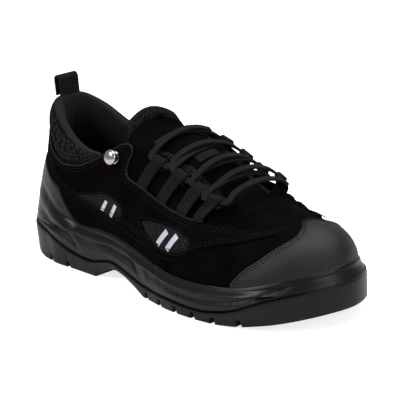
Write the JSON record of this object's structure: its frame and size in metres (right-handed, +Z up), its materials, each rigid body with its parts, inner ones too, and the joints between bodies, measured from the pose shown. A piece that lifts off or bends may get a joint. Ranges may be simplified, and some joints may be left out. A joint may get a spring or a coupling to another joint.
{
  "type": "safety sneaker",
  "caption": "Low-cut lace-up safety trainer with suede panels, mesh windows, padded collar, toe cap cover and a moulded rubber sole.",
  "frame": {"origin": "middle of the bounding box in plan, at the ground under the sole", "axes": "+X from heel to toe, -Y to the outer side of the foot, +Z up"},
  "size_m": [0.3036, 0.1126, 0.1336],
  "materials": {
    "outsole": "satin moulded",
    "midsole": "satin moulded",
    "suede": "suede",
    "tongue": "mesh and suede",
    "cloth": "knitted",
    "toe_cap": "satin coated",
    "webbing": "ribbed webbing",
    "lace": "woven",
    "stud": "polished"
  },
  "bodies": {
    "root": {"outsole": "outsole", "midsole": "midsole", "insole": "cloth", "upper": "suede", "collar_pad": "cloth", "tongue": "tongue", "tongue_lace_keeper": "webbing", "side_band": "suede", "quarter_lateral": "suede", "quarter_medial": "suede", "toe_cap": "toe_cap", "lace": "lace", "pull_loop": "webbing", "lacing_stud_lateral": "stud", "lacing_stud_medial": "stud", "lace_loop_lateral_1": "webbing", "lace_loop_lateral_2": "webbing", "lace_loop_lateral_3": "webbing", "lace_loop_lateral_4": "webbing", "lace_loop_medial_1": "webbing", "lace_loop_medial_2": "webbing", "lace_loop_medial_3": "webbing", "lace_loop_medial_4": "webbing"}
  },
  "joints": []
}
